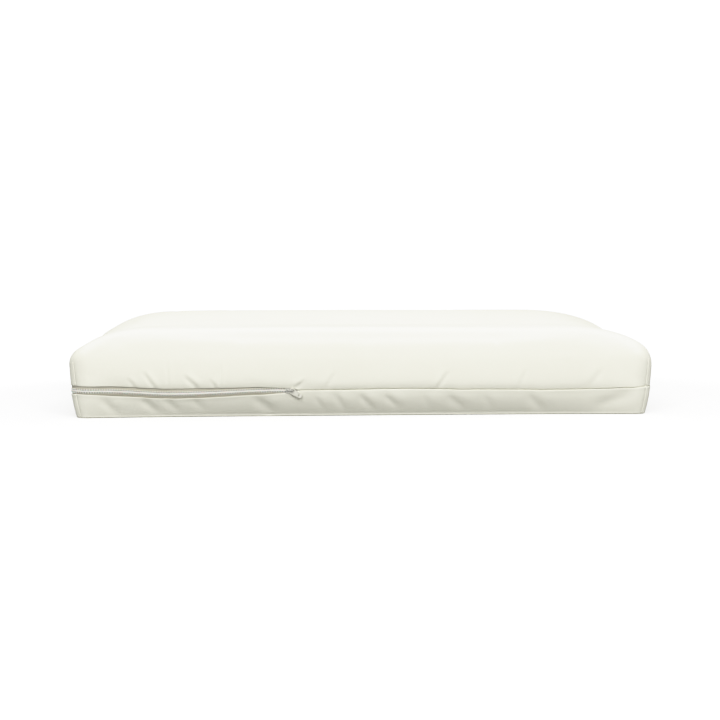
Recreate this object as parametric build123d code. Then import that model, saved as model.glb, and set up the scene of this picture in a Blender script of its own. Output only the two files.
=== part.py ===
"""Contoured baby changing pad: a foam core with two raised sides, sealed in a waterproof liner, inside a
two-piece fabric cover that a zip closes round one end.

Frame: +X along the length, +Y away from the front, +Z up, origin at the middle of the underside.
The zip starts at the middle of the front, runs round the -X end and stops at the same place on the back.
"""

from build123d import *
import math
import os

# ---- The pad's outside, in millimetres -----------------------------------------------------------
HALF_LENGTH = 400.0  # to the bulge of the end walls
HALF_WIDTH = 206.0  # to the bulge of the long walls
SEAM_HEIGHT = 37.4
SEAM_SETBACK_X = 3.0  # the seam lies this much inside the bulge
SEAM_SETBACK_Y = 4.0
BASE_SETBACK = 10.5  # the underside's edge lies this much inside the bulge
BULGE_HEIGHT = 60.0
CORNER_RADIUS = 30.0
BASE_EDGE_RADIUS = 6.0

# The cross-section's corners before rounding, as (distance from the middle, height)
CREST = (HALF_WIDTH, 134.8)
VALLEY = (44.0, 58.0)
CREST_RADIUS = 18.0
VALLEY_RADIUS = 160.0

# The long outline's corners before rounding
END_SHOULDER = (HALF_LENGTH, 91.0)
RAMP_TOP = (328.0, 129.0)
END_SHOULDER_RADIUS = 22.0
RAMP_TOP_RADIUS = 80.0

# ---- Layers, each as the depth of its two faces below the outside --------------------------------
COVER_INSIDE = 1.2
LINER_OUTSIDE = 1.5
LINER_INSIDE = 2.1
FOAM_OUTSIDE = 2.4

# ---- Zip -----------------------------------------------------------------------------------------
TAPE_DEPTH = 2.6  # the tape's middle plane, below the outside at the seam
TAPE_THICKNESS = 0.6
TAPE_WIDTH = 13.0
TAPE_EDGE = 2.2  # from the zip's centre line to the tape's flat part, past its corded edge
TAPE_UPRIGHT = 3.8  # the lower tape leans in with the wall past this height
TAPE_SLACK = 8.0  # tape past the end stops
SLOT_PLAY = 0.1  # in a slot that holds the tape
TAPE_CLEARANCE = 0.5  # from the cover's inside to the lower tape's middle, at its sewn edge
OPENING_HALF = 5.5  # from the centre line to each fabric lip
OPENING_END = -88.0  # where the lips come together
RELIEF_DEPTH = 6.5  # hollow in the liner and the foam behind the zip
RELIEF_HALF = 16.0

TOOTH_THICKNESS = 2.4
TOOTH_OUTER = 3.0  # half of the chain's width
TOOTH_MEETING = 0.05  # from the centre line to each row

SLIDER_X = -98.0
SLIDER_LENGTH = 12.0
SLIDER_MOUTH = 10.2  # width at the end where the two tapes enter
SLIDER_TAIL = 8.8
SLIDER_PLATE = 1.1
SLIDER_CHANNEL = 2.8
FLANGE_INNER = 3.25
TAPE_SLOT = 1.1

BRIDGE_LENGTH = 7.2
BRIDGE_WIDTH = 2.0
BRIDGE_HEIGHT = 3.1  # above the slider's outer plate
BRIDGE_THICKNESS = 1.1

PULL_DROOP = 30.0  # degrees below the zip's line, where it hangs
PULL_LENGTH = 17.6  # from its bar to its tip
PULL_WIDTH = 7.8
PULL_TIP_WIDTH = 5.6
PULL_THICKNESS = 1.3
PULL_BAR_RADIUS = 0.7
PULL_WINDOW = (5.0, 5.8)  # along and across the tab
PULL_GRIP_AT = 13.2
PULL_GRIP = (1.2, 3.4)

STOP_LENGTH = 2.8
STOP_GAP = 0.4
BOTTOM_STOP_LENGTH = 5.0

FAR = 900.0  # longer than the pad, for cutting blocks


# ---- The pad's outside, and the same form inset for each layer -----------------------------------
def plan_section(height, setback_x, setback_y):
    """A rounded rectangle at that height, set back from the bulge of the walls."""
    rectangle = RectangleRounded(
        2 * (HALF_LENGTH - setback_x),
        2 * (HALF_WIDTH - setback_y),
        CORNER_RADIUS - min(setback_x, setback_y) / 2,
    )
    return Plane.XY.offset(height) * rectangle


def walls(inset):
    """The four side walls: they lean out up to the seam, bulge above it, and are trimmed by the profiles."""
    clear = 0.6  # past the profiles' own walls, so that no two faces lie on each other
    levels = [
        (inset, BASE_SETBACK + BASE_EDGE_RADIUS, BASE_SETBACK + BASE_EDGE_RADIUS),
        (BASE_EDGE_RADIUS * 0.3 + inset, BASE_SETBACK + 2.0, BASE_SETBACK + 2.0),
        (BASE_EDGE_RADIUS + inset, BASE_SETBACK, BASE_SETBACK),
        (SEAM_HEIGHT, SEAM_SETBACK_X, SEAM_SETBACK_Y),
        (BULGE_HEIGHT, -clear, -clear),
        (RAMP_TOP[1] + 20, -clear, -clear),
    ]
    sections = [plan_section(z, dx + inset, dy + inset) for z, dx, dy in levels]
    return loft(sections, ruled=True)


def profile(points, radii, plane, inset):
    """A block with that upper outline, inset, which runs right through the pad across the plane."""
    widest = points[0][0]
    low = -30.0
    outline = [(-widest, low)]
    outline += [(-x, z) for x, z in points]
    outline += [(x, z) for x, z in reversed(points)]
    outline += [(widest, low)]
    rounded = FilletPolyline(*outline, radius=radii + radii[::-1])
    closing = Line(outline[-1], outline[0])
    face = make_face([*rounded.edges(), closing])
    if inset:
        face = offset(face, -inset)
    return extrude(plane * face, FAR / 2, both=True)


def pad_form(inset, relief=None):
    """The pad's whole form, each face inset; relief cuts the band behind the zip back to that depth."""
    cross = profile(
        [CREST, VALLEY],
        [CREST_RADIUS, VALLEY_RADIUS],
        Plane.YZ,
        inset,
    )
    long = profile(
        [END_SHOULDER, RAMP_TOP],
        [END_SHOULDER_RADIUS, RAMP_TOP_RADIUS],
        Plane.XZ,
        inset,
    )
    form = walls(inset) & cross & long
    if relief is not None:
        half = RELIEF_HALF + inset - LINER_OUTSIDE
        band = Pos(0, 0, SEAM_HEIGHT) * Box(FAR, FAR, 2 * half)
        form = form - (band - seam_prism(relief, half + 1))
    return form


def seam_prism(depth, half_height):
    """The upright prism through the seam's outline, taken in by depth."""
    section = plan_section(SEAM_HEIGHT, SEAM_SETBACK_X + depth, SEAM_SETBACK_Y + depth)
    return extrude(section, half_height, both=True)


def lower_wall_setback(height):
    """How far the wall under the seam lies inside the bulge, along X and along Y."""
    share = (SEAM_HEIGHT - height) / (SEAM_HEIGHT - BASE_EDGE_RADIUS)
    setback_x = SEAM_SETBACK_X + share * (BASE_SETBACK - SEAM_SETBACK_X)
    setback_y = SEAM_SETBACK_Y + share * (BASE_SETBACK - SEAM_SETBACK_Y)
    return setback_x, setback_y


def above(height):
    return Pos(0, 0, height + FAR / 2) * Box(FAR, FAR, FAR)


def below(height):
    return Pos(0, 0, height - FAR / 2) * Box(FAR, FAR, FAR)


def zip_side(end, low, high):
    """The block that holds everything on the zip's side of end, between two heights."""
    return Pos(end - FAR / 2, 0, (low + high) / 2) * Box(FAR, FAR, high - low)


# ---- The zip's path ------------------------------------------------------------------------------
PATH_HALF_X = HALF_LENGTH - SEAM_SETBACK_X - TAPE_DEPTH
PATH_HALF_Y = HALF_WIDTH - SEAM_SETBACK_Y - TAPE_DEPTH
PATH_RADIUS = CORNER_RADIUS - (min(SEAM_SETBACK_X, SEAM_SETBACK_Y) + TAPE_DEPTH) / 2
STRAIGHT_FRONT = OPENING_END + PATH_HALF_X - PATH_RADIUS
STRAIGHT_END = 2 * (PATH_HALF_Y - PATH_RADIUS)
CORNER_LENGTH = PATH_RADIUS * math.pi / 2
PATH_LENGTH = 2 * STRAIGHT_FRONT + 2 * CORNER_LENGTH + STRAIGHT_END


def on_zip(distance):
    """The place at that distance from the zip's closed end: local X along it, local Y into the pad, Z up."""
    left = -PATH_HALF_X + PATH_RADIUS
    front = -PATH_HALF_Y + PATH_RADIUS
    stretches = [
        (STRAIGHT_FRONT, OPENING_END, -PATH_HALF_Y, 180, 0),
        (CORNER_LENGTH, left, front, 180, -1),
        (STRAIGHT_END, -PATH_HALF_X, front, 90, 0),
        (CORNER_LENGTH, left, -front, 90, -1),
        (STRAIGHT_FRONT, left, PATH_HALF_Y, 0, 0),
    ]
    for length, x, y, heading, turn in stretches:
        if distance <= length:
            break
        distance -= length
    if turn:
        angle = math.degrees(distance / PATH_RADIUS)
        heading -= angle
        outward = math.radians(heading + 90)
        x += PATH_RADIUS * math.cos(outward)
        y += PATH_RADIUS * math.sin(outward)
    else:
        x += distance * math.cos(math.radians(heading))
        y += distance * math.sin(math.radians(heading))
    return Location((x, y, SEAM_HEIGHT), (0, 0, heading))


# ---- Soft parts ----------------------------------------------------------------------------------
def cover_shell():
    return pad_form(0) - pad_form(COVER_INSIDE)


def cover_top(shell):
    seam_gap = 0.2
    opening = zip_side(OPENING_END, 0, SEAM_HEIGHT + OPENING_HALF)
    return (shell & above(SEAM_HEIGHT + seam_gap)) - opening


def cover_bottom(shell):
    seam_gap = 0.2
    opening = zip_side(OPENING_END, SEAM_HEIGHT - OPENING_HALF, FAR)
    return (shell & below(SEAM_HEIGHT - seam_gap)) - opening


def liner_shell():
    outside = pad_form(LINER_OUTSIDE, RELIEF_DEPTH)
    inside = pad_form(LINER_INSIDE, RELIEF_DEPTH + LINER_INSIDE - LINER_OUTSIDE)
    return outside - inside


def foam_core():
    return pad_form(FOAM_OUTSIDE, RELIEF_DEPTH + FOAM_OUTSIDE - LINER_OUTSIDE)


# ---- Zip parts -----------------------------------------------------------------------------------
def tape_outline(height, face, lean_x=0.0, lean_y=0.0):
    """The zip's path at that height, moved out by face and in by the lean."""
    rectangle = RectangleRounded(
        2 * (PATH_HALF_X + face - lean_x),
        2 * (PATH_HALF_Y + face - lean_y),
        PATH_RADIUS + face,
    )
    return Plane.XY.offset(height) * rectangle


def tape_solid(side, face):
    """The solid inside one face of a tape, from its corded edge to its sewn edge."""
    heights = [SEAM_HEIGHT + side * reach for reach in (TAPE_EDGE, TAPE_UPRIGHT, TAPE_EDGE + TAPE_WIDTH)]
    lean_x = lean_y = 0.0
    if side < 0:
        wall_x, wall_y = lower_wall_setback(heights[-1])
        inside = COVER_INSIDE + TAPE_CLEARANCE - TAPE_DEPTH
        lean_x = wall_x - SEAM_SETBACK_X + inside
        lean_y = wall_y - SEAM_SETBACK_Y + inside
    sections = [
        tape_outline(heights[0], face),
        tape_outline(heights[1], face),
        tape_outline(heights[2], face, lean_x, lean_y),
    ]
    return loft(sections, ruled=True)


def tape(side):
    """One woven tape: side is 1 above the centre line and -1 below it."""
    half = TAPE_THICKNESS / 2
    reach = TAPE_EDGE + TAPE_WIDTH
    band = tape_solid(side, half) - tape_solid(side, -half)
    return band & zip_side(OPENING_END + TAPE_SLACK, SEAM_HEIGHT - reach, SEAM_HEIGHT + reach)


def tape_slot(length, near, far):
    """What a clamped piece leaves free for the tape."""
    return Pos(0, 0, (near + far) / 2) * Box(length, TAPE_THICKNESS + SLOT_PLAY, far - near)


def ring_on_path(thickness, near, far):
    """A band along the whole seam, between two heights from the centre line."""
    low, high = sorted((SEAM_HEIGHT + near, SEAM_HEIGHT + far))
    outer = extrude(tape_outline(low, thickness / 2), high - low)
    return outer - extrude(tape_outline(low, -thickness / 2), high - low)


def teeth(side):
    """The row of one tape, as a plain bar that grips the tape's edge."""
    row = ring_on_path(TOOTH_THICKNESS, side * TOOTH_MEETING, side * TOOTH_OUTER)
    row -= ring_on_path(TAPE_THICKNESS + SLOT_PLAY, side * TAPE_EDGE, side * (TOOTH_OUTER + 1))
    low, high = SEAM_HEIGHT - TOOTH_OUTER, SEAM_HEIGHT + TOOTH_OUTER
    front = Pos(0, -FAR / 2, 0) * zip_side(SLIDER_X - 1.0, low, high)
    back_end = OPENING_END - BOTTOM_STOP_LENGTH - STOP_GAP
    back = Pos(0, FAR / 2, 0) * zip_side(back_end, low, high)
    return row & (front + back)


def top_stop(side):
    """A clamp on one tape, which the slider meets when the zip is shut."""
    near, far = TAPE_EDGE - 0.4, TOOTH_OUTER + 0.6
    block = Pos(0, 0, side * (near + far) / 2) * Box(STOP_LENGTH, TOOTH_THICKNESS, far - near)
    ends = sorted((side * TAPE_EDGE, side * (far + 1)))
    block -= tape_slot(STOP_LENGTH + 1, *ends)
    middle = SLIDER_X + SLIDER_LENGTH / 2 + STOP_GAP + STOP_LENGTH / 2
    return on_zip(OPENING_END - middle) * block


def bottom_stop():
    """The clamp that joins the two tapes at the zip's far end."""
    reach = TOOTH_OUTER + 0.6
    block = Box(BOTTOM_STOP_LENGTH, TOOTH_THICKNESS, 2 * reach)
    for side in (1, -1):
        ends = sorted((side * TAPE_EDGE, side * (reach + 1)))
        block -= tape_slot(BOTTOM_STOP_LENGTH + 1, *ends)
    return on_zip(PATH_LENGTH - BOTTOM_STOP_LENGTH / 2) * block


# The slider and its pull are drawn about the chain's middle: X towards the shut end, -Y out of the pad.
SLIDER_PLACE = Pos(SLIDER_X, -PATH_HALF_Y, SEAM_HEIGHT)
PLATE_INNER = SLIDER_CHANNEL / 2
PLATE_OUTER = PLATE_INNER + SLIDER_PLATE
PIVOT_OUT = PLATE_OUTER + 1.0


def slider_outline(grow=0.0):
    """The plates' outline: a narrow tail, wide shoulders and a rounded mouth."""
    half = SLIDER_LENGTH / 2
    tail, mouth = SLIDER_TAIL / 2 + grow, SLIDER_MOUTH / 2 + grow
    points = [(-half, -tail), (1.0, -mouth), (half, -mouth), (half, mouth), (1.0, mouth), (-half, tail)]
    face = make_face(Polyline(*points, close=True).edges())
    return fillet(face.vertices(), 1.2)


def slider_plate(out_low, out_high):
    """A plate with that outline, from out_low to out_high in front of the chain's middle plane."""
    plate = extrude(Plane.XZ * slider_outline(), out_high - out_low)
    return Pos(0, -out_low, 0) * plate


def slider_body():
    outer = slider_plate(PLATE_INNER, PLATE_OUTER)
    back = slider_plate(-PLATE_OUTER, -PLATE_INNER)
    rim = slider_plate(-PLATE_INNER, PLATE_INNER)
    channel = Box(SLIDER_LENGTH + 2, SLIDER_CHANNEL + 2, 2 * FLANGE_INNER)
    slot = Box(SLIDER_LENGTH + 2, TAPE_SLOT, SLIDER_MOUTH + 2)
    flanges = rim - channel - slot
    post_face = make_face(Polyline((1.5, 0), (3.4, 1.2), (5.4, 0), (3.4, -1.2), close=True).edges())
    post = extrude(Plane.XZ * post_face, PLATE_INNER, both=True)
    height = BRIDGE_HEIGHT + 0.4
    arch = Pos(0, -PLATE_OUTER - BRIDGE_HEIGHT / 2 + 0.2, 0) * Box(BRIDGE_LENGTH, height, BRIDGE_WIDTH)
    arch = fillet(arch.edges().filter_by(Axis.Z).group_by(Axis.Y)[0], 1.0)
    window_height = BRIDGE_HEIGHT - BRIDGE_THICKNESS
    window = Pos(0, -PLATE_OUTER - window_height / 2, 0) * Box(
        BRIDGE_LENGTH - 2 * BRIDGE_THICKNESS, window_height, BRIDGE_WIDTH + 1
    )
    return SLIDER_PLACE * (outer + back + flanges + post + (arch - window))


def pull_tab():
    """The tab hangs by its bar from the slider's bridge and lies along the front, turned down to its rest."""
    half_wide, half_tip = PULL_WIDTH / 2, PULL_TIP_WIDTH / 2
    points = [
        (0, -half_wide),
        (PULL_WINDOW[0] + 2, -half_wide),
        (PULL_LENGTH, -half_tip),
        (PULL_LENGTH, half_tip),
        (PULL_WINDOW[0] + 2, half_wide),
        (0, half_wide),
    ]
    face = make_face(Polyline(*points, close=True).edges())
    tip = face.vertices().group_by(Axis.X)[-1]
    face = fillet(tip, 2.6)
    plate = extrude(Plane.XZ * face, PULL_THICKNESS / 2, both=True)
    window = Pos(PULL_WINDOW[0] / 2, 0, 0) * Box(PULL_WINDOW[0], 2, PULL_WINDOW[1])
    grip = Pos(PULL_GRIP_AT, 0, 0) * Box(PULL_GRIP[0], 2, PULL_GRIP[1])
    bar = Cylinder(PULL_BAR_RADIUS, PULL_WIDTH)
    tab = (plate - window - grip) + bar
    return SLIDER_PLACE * Pos(0, -PIVOT_OUT, 0) * Rot(0, PULL_DROOP, 0) * tab


def main():
    os.makedirs("parts", exist_ok=True)
    shell = cover_shell()
    liner = liner_shell()
    nodes = {
        "foam_core": foam_core(),
        "liner_top": liner & above(SEAM_HEIGHT),
        "liner_bottom": liner & below(SEAM_HEIGHT),
        "cover_top": cover_top(shell),
        "cover_bottom": cover_bottom(shell),
        "zip_tape_upper": tape(1),
        "zip_tape_lower": tape(-1),
        "zip_teeth_upper": teeth(1),
        "zip_teeth_lower": teeth(-1),
        "top_stop_upper": top_stop(1),
        "top_stop_lower": top_stop(-1),
        "bottom_stop": bottom_stop(),
        "slider_body": slider_body(),
        "pull_tab": pull_tab(),
    }
    for name, shape in nodes.items():
        export_step(shape, f"parts/{name}.step")


main()
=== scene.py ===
"""The looks of a contoured changing pad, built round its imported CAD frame.

Lengths are in millimetres until a mesh is made, and MM turns them into metres. The camera, the light, the
floor and the depths of bumps are in metres. The pad's fabric is built as grids of points: each row is a
ring round the pad, and each column is one station on every ring.
"""

import math

import bmesh
import bpy
import numpy as np
from mathutils import Matrix, Vector


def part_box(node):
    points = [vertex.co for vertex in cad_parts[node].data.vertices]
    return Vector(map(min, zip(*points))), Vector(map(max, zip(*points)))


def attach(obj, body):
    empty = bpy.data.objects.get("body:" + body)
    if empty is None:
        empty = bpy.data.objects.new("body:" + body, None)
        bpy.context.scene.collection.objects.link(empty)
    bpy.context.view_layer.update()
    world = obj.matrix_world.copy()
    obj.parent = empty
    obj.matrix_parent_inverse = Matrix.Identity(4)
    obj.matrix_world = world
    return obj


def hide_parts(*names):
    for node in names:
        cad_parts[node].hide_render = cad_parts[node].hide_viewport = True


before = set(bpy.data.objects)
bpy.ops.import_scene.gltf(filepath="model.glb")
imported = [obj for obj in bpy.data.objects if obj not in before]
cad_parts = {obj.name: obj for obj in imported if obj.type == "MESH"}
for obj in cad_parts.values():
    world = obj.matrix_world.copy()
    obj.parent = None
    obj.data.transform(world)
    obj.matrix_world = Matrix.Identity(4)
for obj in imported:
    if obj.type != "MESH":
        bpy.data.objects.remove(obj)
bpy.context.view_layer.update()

MM = 0.001

# ---- Sizes taken from the frame ------------------------------------------------------------------
top_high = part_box("cover_top")[1]
tray_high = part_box("cover_bottom")[1]
tape_low, tape_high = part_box("zip_tape_upper")
slider_low, slider_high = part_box("slider_body")

HALF_LENGTH = top_high[0] / MM
HALF_WIDTH = top_high[1] / MM
HEIGHT = top_high[2] / MM
SEAM_GAP = 0.2  # from the lower cover's edge up to the middle of the seam
SEAM_HEIGHT = tray_high[2] / MM + SEAM_GAP
TAPE_THICKNESS = 0.6
CHAIN_HALF_X = -tape_low[0] / MM - TAPE_THICKNESS / 2
CHAIN_HALF_Y = tape_high[1] / MM - TAPE_THICKNESS / 2
CHAIN_RADIUS = 27.2  # of the zip's turns round the corners
SLIDER_X = (slider_low[0] + slider_high[0]) / MM / 2
OPENING_END = SLIDER_X + 10.0  # where the lips come together

# ---- The pad's form ------------------------------------------------------------------------------
CORNER_RADIUS = 29.0
SEAM_SETBACK_X = 2.6  # the seam lies this much inside the bulge of the ends
SEAM_SETBACK_Y = 4.3  # and of the long sides
SEAM_RADIUS = CORNER_RADIUS - 3.0
HEM = 0.6  # radius of the cover's folded edges
BASE_DRAW = 7.2  # the tray's foot lies this much inside its lip
BASE_ROUNDING = 3.0
MIDDLE_LEAN = 12.0  # further in at the foot of the long walls, half-way along them
WALL_CURVE = 1.5  # above 1, walls lean in more the nearer they are to the foot or the seam
BULGE_HEIGHT = 84.0  # the upper walls are upright above this height

VALLEY_HEIGHT = 58.0
VALLEY_HALF = 44.0  # half the width of the cradle's flat middle
VALLEY_SOFTNESS = 25.0  # how gently the cradle's sides start to rise
VALLEY_SLOPE = 0.486
CREST_BLEND = 20.0  # how far the crests are rounded
CROWN_OVER = 5.8  # how far the crown stands over the pad's height before it is blended in
CROWN_DROP = 5.1  # the raised sides are this much lower at their ends

# Each end's ramp: its height at the end wall, its slope, and how softly it meets the wall and the crown
RAMP_LEFT = (87.0, 0.58, 14.0, 23.0)
RAMP_RIGHT = (88.7, 0.87, 19.0, 56.0)
RAMP_CHANGE = 200.0  # the left ramp's values turn into the right one's this far either side of the middle


def smooth_min(a, b, k):
    """The lesser of a and b, rounded where they are within k of each other."""
    h = np.clip(0.5 + 0.5 * (b - a) / k, 0.0, 1.0)
    return b * (1 - h) + a * h - k * h * (1 - h)


def smooth_step(x, low, high):
    """0 up to low and 1 from high on, with a smooth rise between them."""
    t = np.clip((x - low) / (high - low), 0.0, 1.0)
    return t * t * (3 - 2 * t)


def smooth_curve(x, points):
    """A smooth line through points (place, value), level at each of them."""
    value = np.full(np.shape(x), float(points[0][1]))
    for (x0, v0), (x1, v1) in zip(points, points[1:]):
        value = value + (v1 - v0) * smooth_step(x, x0, x1)
    return value


def valley(y):
    """The height of the cradle, which rises to the walls on both sides."""
    out = np.abs(y) - VALLEY_HALF
    return VALLEY_HEIGHT + VALLEY_SLOPE * 0.5 * (out + np.hypot(out, VALLEY_SOFTNESS))


def wall_setback(z):
    """How far the upper walls lie inside their bulge, as a share of their setback at the seam."""
    below = np.clip((BULGE_HEIGHT - z) / (BULGE_HEIGHT - SEAM_HEIGHT), 0.0, 2.0)
    return below**WALL_CURVE


def depth_in_form(x, y, z):
    """About how deep a point lies inside the upper part of the pad."""
    setback = wall_setback(z)
    over_x = np.abs(x) - (HALF_LENGTH - SEAM_SETBACK_X * setback - CORNER_RADIUS)
    over_y = np.abs(y) - (HALF_WIDTH - SEAM_SETBACK_Y * setback - CORNER_RADIUS)
    outside = np.hypot(np.maximum(over_x, 0), np.maximum(over_y, 0))
    form = CORNER_RADIUS - outside - np.minimum(np.maximum(over_x, over_y), 0)
    form = smooth_min(form, (valley(y) - z) / math.hypot(1, VALLEY_SLOPE), CREST_BLEND)
    to_right = smooth_step(x, -RAMP_CHANGE, RAMP_CHANGE)
    ramps = zip(RAMP_LEFT, RAMP_RIGHT)
    height, slope, wall_blend, crown_blend = (left + (right - left) * to_right for left, right in ramps)
    ramp = (height + (HALF_LENGTH - np.abs(x)) * slope - z) / np.hypot(1, slope)
    crown = HEIGHT + CROWN_OVER - CROWN_DROP * (x / HALF_LENGTH) ** 2 - z
    return smooth_min(form, smooth_min(ramp, crown, crown_blend), wall_blend)


# ---- The seam line and the zip's opening ----------------------------------------------------------
# Along the front: the seam's height over its nominal one, and how far each lip lies from the zip's middle
SEAM_SAG = [(-400, 0.6), (-352, 0.2), (-256, -3.9), (-112, 0.0), (-40, 0.2), (54, 1.2), (162, -0.7),
            (270, -1.8), (365, 0.1), (396, 1.2)]
UPPER_LIP = [(-372, 6.6), (-330, 7.0), (-240, 6.8), (-150, 5.0), (-98, 2.6), (OPENING_END, 0.4)]
LOWER_LIP = [(-390, 4.2), (-330, 6.2), (-200, 6.3), (-150, 5.6), (-98, 3.6), (OPENING_END, 0.4)]
# Away from the front: how far the lips lie from the zip's middle where it is open and where it is sewn up,
# and the stretch of the back over which the opening closes
EVEN_LIP = 6.0
SHUT_LIP = 0.25
BACK_CLOSING = 75.0


def on_front(y):
    """1 on the front wall, falling to 0 a little way round its corners."""
    return 1.0 - smooth_step(y, -HALF_WIDTH + 5, -HALF_WIDTH + 60)


def seam_line(x, y):
    """The height of the seam, or of the zip's middle. Away from the front it wanders a little."""
    wander = 0.5 * np.sin(x / 47.0) + 0.4 * np.sin(y / 31.0 + 1.0)
    return SEAM_HEIGHT + smooth_curve(x, SEAM_SAG) * on_front(y) + wander * (1 - on_front(y))


def lip_offset(x, y, points):
    """How far a lip lies from the seam line: the zip's opening is even round the end and along the back."""
    even = EVEN_LIP + 0.5 * np.sin(x / 60.0 + y / 45.0)
    closing = smooth_step(x, OPENING_END - BACK_CLOSING, OPENING_END)
    back = SHUT_LIP + (even - SHUT_LIP) * (1 - closing)
    front = on_front(y)
    return smooth_curve(x, points) * front + back * (1 - front)


# ---- Grids of points -----------------------------------------------------------------------------
STATIONS_LONG = 184
STATIONS_END = 72
STATIONS_CORNER = 14
STATIONS = 2 * (STATIONS_LONG + STATIONS_END) + 4 * STATIONS_CORNER

# The upper walls and crests are found by fans of rays from a ring inside the form, the spine
SPINE_INSET = 40.0
SPINE_HEIGHT = 50.0
FAN_RAYS = 140
WALL_RINGS = 27
TOP_RINGS = 26
TRAY_RINGS = 12
ROUNDING_RINGS = 4
UNDER_RINGS = 12
LAST_INSET = HALF_WIDTH - 5.0  # of the last ring, in the middle of the cradle and of the underside
FAN_REACH = 140.0  # further than the form's surface, and so is the next
UPWARD_REACH = 120.0
HALVINGS = 26


def ring(half_x, half_y, radius):
    """The stations' places on a rounded rectangle, anticlockwise from the front's left end, as (x, y)."""
    flat_x, flat_y = half_x - radius, half_y - radius
    along = np.linspace(-1, 1, STATIONS_LONG, endpoint=False)
    across = np.linspace(-1, 1, STATIONS_END, endpoint=False)
    turn = np.linspace(0, math.pi / 2, STATIONS_CORNER, endpoint=False)
    sides = [
        (along * flat_x, np.full_like(along, -half_y)),
        (flat_x + radius * np.sin(turn), -flat_y - radius * np.cos(turn)),
        (np.full_like(across, half_x), across * flat_y),
        (flat_x + radius * np.cos(turn), flat_y + radius * np.sin(turn)),
        (-along * flat_x, np.full_like(along, half_y)),
        (-flat_x - radius * np.sin(turn), flat_y + radius * np.cos(turn)),
        (np.full_like(across, -half_x), -across * flat_y),
        (-flat_x - radius * np.cos(turn), -flat_y - radius * np.sin(turn)),
    ]
    return np.stack([np.concatenate([side[i] for side in sides]) for i in (0, 1)], axis=-1)


def inset_ring(inset):
    """The ring that far inside the bulge. Its corners get sharper on the way in."""
    half_y = HALF_WIDTH - inset
    radius = min(max(CORNER_RADIUS - 0.35 * inset, 5.0), half_y - 1.0)
    return ring(HALF_LENGTH - inset, half_y, radius)


def find_surface(start, direction, reach):
    """Where rays from inside the form leave it, by halving the stretch."""
    near = np.zeros(direction.shape[:-1])
    far = np.full_like(near, reach)
    for _ in range(HALVINGS):
        middle = (near + far) / 2
        point = start + direction * middle[..., None]
        inside = depth_in_form(point[..., 0], point[..., 1], point[..., 2]) > 0
        near = np.where(inside, middle, near)
        far = np.where(inside, far, middle)
    return start + direction * near[..., None]


def top_grid():
    """The upper cover from its lip, up the walls and over the crests to the middle of the cradle."""
    lip_plan = ring(HALF_LENGTH - SEAM_SETBACK_X, HALF_WIDTH - SEAM_SETBACK_Y, SEAM_RADIUS)
    lip_height = seam_line(*lip_plan.T) + lip_offset(*lip_plan.T, UPPER_LIP) + HEM
    spine = inset_ring(SPINE_INSET)
    outward = lip_plan - spine
    distance = np.hypot(*outward.T)
    outward = outward / distance[:, None]
    lowest = np.arctan2(lip_height - SPINE_HEIGHT, distance)
    angle = lowest + (math.pi / 2 - lowest) * np.linspace(0, 1, FAN_RAYS)[:, None]
    direction = np.stack(
        [np.cos(angle) * outward[:, 0], np.cos(angle) * outward[:, 1], np.sin(angle)], axis=-1
    )
    start = np.broadcast_to(np.column_stack([spine, np.full(STATIONS, SPINE_HEIGHT)]), direction.shape)
    fan = find_surface(start, direction, FAN_REACH)
    step = np.linalg.norm(np.diff(fan, axis=0), axis=-1)
    length = np.concatenate([np.zeros((1, STATIONS)), np.cumsum(step, axis=0)])
    wall = np.empty((WALL_RINGS, STATIONS, 3))
    for i in range(STATIONS):
        even = np.linspace(0, length[-1, i], WALL_RINGS)
        for axis in range(3):
            wall[:, i, axis] = np.interp(even, length[:, i], fan[:, i, axis])
    upward = np.zeros((STATIONS, 3))
    upward[:, 2] = 1
    rings = [wall]
    for inset in np.linspace(SPINE_INSET, LAST_INSET, TOP_RINGS + 1)[1:]:
        plan = np.column_stack([inset_ring(inset), np.full(STATIONS, SPINE_HEIGHT - 20)])
        rings.append(find_surface(plan, upward, UPWARD_REACH)[None])
    return np.concatenate(rings)


def tray_grid():
    """The lower cover from its lip, down the wall and under to the middle."""
    rings = []
    plan = ring(HALF_LENGTH, HALF_WIDTH, CORNER_RADIUS)
    on_long_side = smooth_step(np.abs(plan[:, 1]), HALF_WIDTH - CORNER_RADIUS, HALF_WIDTH)
    lean = MIDDLE_LEAN * on_long_side * (1 - (plan[:, 0] / HALF_LENGTH) ** 4)
    for share in np.linspace(0, 1, TRAY_RINGS):
        plan = ring(HALF_LENGTH - SEAM_SETBACK_X, HALF_WIDTH - SEAM_SETBACK_Y, SEAM_RADIUS)
        lip = seam_line(*plan.T) - lip_offset(*plan.T, LOWER_LIP) - HEM
        height = lip + (BASE_ROUNDING - lip) * share
        down = np.maximum(1 - height / SEAM_HEIGHT, 0)
        sunk = (BASE_DRAW + lean) * down**WALL_CURVE
        normal = plan - ring(HALF_LENGTH - 25, HALF_WIDTH - 25, 6.0)
        normal /= np.hypot(*normal.T)[:, None]
        rings.append(np.column_stack([plan - normal * sunk[:, None], height]))
    edge = rings[-1]
    for turn in np.linspace(0, math.pi / 2, ROUNDING_RINGS + 1)[1:]:
        inward = BASE_ROUNDING * (1 - math.cos(turn))
        height = BASE_ROUNDING * (1 - math.sin(turn))
        rings.append(np.column_stack([edge[:, :2] - normal * inward, np.full(STATIONS, height)]))
    start = rings[-1][:, :2]
    finish = inset_ring(LAST_INSET)
    for share in np.linspace(0, 1, UNDER_RINGS + 1)[1:]:
        rings.append(np.column_stack([start + (finish - start) * share, np.zeros(STATIONS)]))
    return np.stack(rings)


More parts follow.
